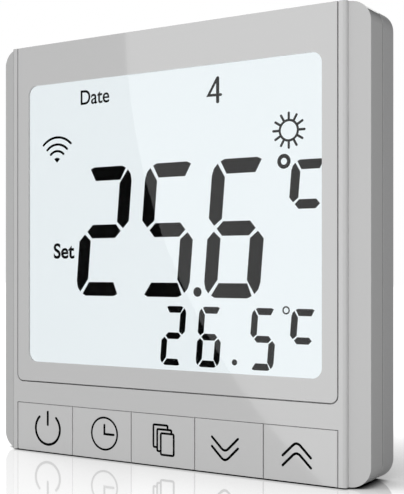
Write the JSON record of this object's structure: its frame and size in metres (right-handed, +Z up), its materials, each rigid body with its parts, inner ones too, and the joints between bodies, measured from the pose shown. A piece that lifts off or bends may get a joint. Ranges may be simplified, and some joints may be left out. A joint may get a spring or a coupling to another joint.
{
  "type": "wall thermostat",
  "caption": "Square wall thermostat with a framed display, a row of flush keys along the bottom and a rear box with screw terminals.",
  "frame": {"origin": "centre of the wall plane, midway between the two wall screws", "axes": "+X to the right of someone facing the display, +Z up, +Y into the wall"},
  "size_m": [0.086, 0.0386, 0.086],
  "materials": {
    "silver_shell": "silver-grey painted plastic, smooth satin gloss",
    "silver_keys": "silver-grey painted plastic, smooth satin gloss",
    "grey_housing": "light grey moulded plastic, fine texture",
    "clear_lens": "clear acrylic",
    "display_glass": "clear display glass",
    "diffuser": "white diffusing film",
    "white_plastic": "white moulded plastic",
    "dark_rubber": "striped elastomer",
    "circuit_board": "green solder mask",
    "zinc_steel": "zinc-plated steel",
    "nickel_steel": "nickel plate",
    "black_plastic": "black moulded plastic",
    "gold_pins": "gold flash over brass",
    "brass": "plain brass",
    "green_plastic": "green flame-proof plastic",
    "relay_blue": "blue moulded plastic",
    "copper_winding": "enamelled copper wire",
    "ferrite": "dark ferrite",
    "yellow_tape": "yellow tape",
    "capacitor_sleeve": "shrunk plastic sleeve",
    "varistor_blue": "epoxy dip",
    "ceramic_fuse": "ceramic tube with plated caps",
    "label_paper": "blank printed label stock"
  },
  "bodies": {
    "rear": {"rear_housing": "grey_housing", "power_board": "circuit_board", "mains_guard": "white_plastic", "guard_screws": "zinc_steel", "link_pins": "gold_pins", "link_pin_block": "black_plastic", "terminal_block": "green_plastic", "terminal_bars": "brass", "relay_case": "relay_blue", "relay_coil": "copper_winding", "relay_yoke": "zinc_steel", "fixed_contact": "brass", "transformer_core": "ferrite", "transformer_winding": "yellow_tape", "smoothing_capacitors": "capacitor_sleeve", "varistor": "varistor_blue", "line_fuse": "ceramic_fuse", "rating_label": "label_paper"},
    "front": {"front_cover": "silver_shell", "display_bezel": "silver_shell", "window_lens": "clear_lens", "lcd_front_glass": "display_glass", "lcd_rear_glass": "display_glass", "diffuser_sheet": "diffuser", "light_guide": "clear_lens", "contact_strip": "dark_rubber", "backlight_leds": "white_plastic", "backlight_tray": "white_plastic", "control_board": "circuit_board", "board_screws": "zinc_steel", "key_switches": "black_plastic", "microcontroller": "black_plastic", "radio_module": "circuit_board", "radio_can": "zinc_steel", "clock_cell": "nickel_steel", "cell_clip": "nickel_steel", "temperature_sensor": "black_plastic", "link_socket": "black_plastic"},
    "armature": {"relay_armature": "zinc_steel", "moving_contact": "brass"},
    "key_power": {"key_power": "silver_keys", "plunger_power": "white_plastic"},
    "key_clock": {"key_clock": "silver_keys", "plunger_clock": "white_plastic"},
    "key_mode": {"key_mode": "silver_keys", "plunger_mode": "white_plastic"},
    "key_down": {"key_down": "silver_keys", "plunger_down": "white_plastic"},
    "key_up": {"key_up": "silver_keys", "plunger_up": "white_plastic"},
    "terminal_screw_1": {"terminal_screw_1": "zinc_steel"},
    "terminal_clamp_1": {"terminal_clamp_1": "nickel_steel"},
    "terminal_screw_2": {"terminal_screw_2": "zinc_steel"},
    "terminal_clamp_2": {"terminal_clamp_2": "nickel_steel"},
    "terminal_screw_3": {"terminal_screw_3": "zinc_steel"},
    "terminal_clamp_3": {"terminal_clamp_3": "nickel_steel"},
    "terminal_screw_4": {"terminal_screw_4": "zinc_steel"},
    "terminal_clamp_4": {"terminal_clamp_4": "nickel_steel"},
    "terminal_screw_5": {"terminal_screw_5": "zinc_steel"},
    "terminal_clamp_5": {"terminal_clamp_5": "nickel_steel"}
  },
  "joints": [
    {"name": "front_module_pull", "type": "slide", "parent": "rear", "child": "front", "axis": [0, -1, 0], "range_m": [0, 0.03]},
    {"name": "key_power_press", "type": "slide", "parent": "front", "child": "key_power", "axis": [0, 1, 0], "range_m": [0, 0.0005], "stiffness_N_per_m": 1500, "springref_m": -0.0003},
    {"name": "key_clock_press", "type": "slide", "parent": "front", "child": "key_clock", "axis": [0, 1, 0], "range_m": [0, 0.0005], "stiffness_N_per_m": 1500, "springref_m": -0.0003},
    {"name": "key_mode_press", "type": "slide", "parent": "front", "child": "key_mode", "axis": [0, 1, 0], "range_m": [0, 0.0005], "stiffness_N_per_m": 1500, "springref_m": -0.0003},
    {"name": "key_down_press", "type": "slide", "parent": "front", "child": "key_down", "axis": [0, 1, 0], "range_m": [0, 0.0005], "stiffness_N_per_m": 1500, "springref_m": -0.0003},
    {"name": "key_up_press", "type": "slide", "parent": "front", "child": "key_up", "axis": [0, 1, 0], "range_m": [0, 0.0005], "stiffness_N_per_m": 1500, "springref_m": -0.0003},
    {"name": "armature_rock", "type": "hinge", "parent": "rear", "child": "armature", "pos_m": [-0.00755, 0.01446, 0.0124], "axis": [0, 0, 1], "range_deg": [0, 5], "stiffness_Nm_per_rad": 0.02, "springref_deg": -5.73},
    {"name": "terminal_screw_1_turn", "type": "hinge", "parent": "rear", "child": "terminal_screw_1", "pos_m": [-0.0168, 0.0165, -0.02], "axis": [0, -1, 0], "range_deg": [0, 1445]},
    {"name": "terminal_clamp_1_lift", "type": "slide", "parent": "rear", "child": "terminal_clamp_1", "axis": [0, 1, 0], "range_m": [0, 0.002]},
    {"name": "terminal_screw_2_turn", "type": "hinge", "parent": "rear", "child": "terminal_screw_2", "pos_m": [-0.0084, 0.0165, -0.02], "axis": [0, -1, 0], "range_deg": [0, 1445]},
    {"name": "terminal_clamp_2_lift", "type": "slide", "parent": "rear", "child": "terminal_clamp_2", "axis": [0, 1, 0], "range_m": [0, 0.002]},
    {"name": "terminal_screw_3_turn", "type": "hinge", "parent": "rear", "child": "terminal_screw_3", "pos_m": [0, 0.0165, -0.02], "axis": [0, -1, 0], "range_deg": [0, 1445]},
    {"name": "terminal_clamp_3_lift", "type": "slide", "parent": "rear", "child": "terminal_clamp_3", "axis": [0, 1, 0], "range_m": [0, 0.002]},
    {"name": "terminal_screw_4_turn", "type": "hinge", "parent": "rear", "child": "terminal_screw_4", "pos_m": [0.0084, 0.0165, -0.02], "axis": [0, -1, 0], "range_deg": [0, 1445]},
    {"name": "terminal_clamp_4_lift", "type": "slide", "parent": "rear", "child": "terminal_clamp_4", "axis": [0, 1, 0], "range_m": [0, 0.002]},
    {"name": "terminal_screw_5_turn", "type": "hinge", "parent": "rear", "child": "terminal_screw_5", "pos_m": [0.0168, 0.0165, -0.02], "axis": [0, -1, 0], "range_deg": [0, 1445]},
    {"name": "terminal_clamp_5_lift", "type": "slide", "parent": "rear", "child": "terminal_clamp_5", "axis": [0, 1, 0], "range_m": [0, 0.002]}
  ],
  "couplings": [
    {"joint": "terminal_screw_1_turn", "follows": "terminal_clamp_1_lift", "rad_per_m": 12566},
    {"joint": "terminal_screw_2_turn", "follows": "terminal_clamp_2_lift", "rad_per_m": 12566},
    {"joint": "terminal_screw_3_turn", "follows": "terminal_clamp_3_lift", "rad_per_m": 12566},
    {"joint": "terminal_screw_4_turn", "follows": "terminal_clamp_4_lift", "rad_per_m": 12566},
    {"joint": "terminal_screw_5_turn", "follows": "terminal_clamp_5_lift", "rad_per_m": 12566}
  ]
}
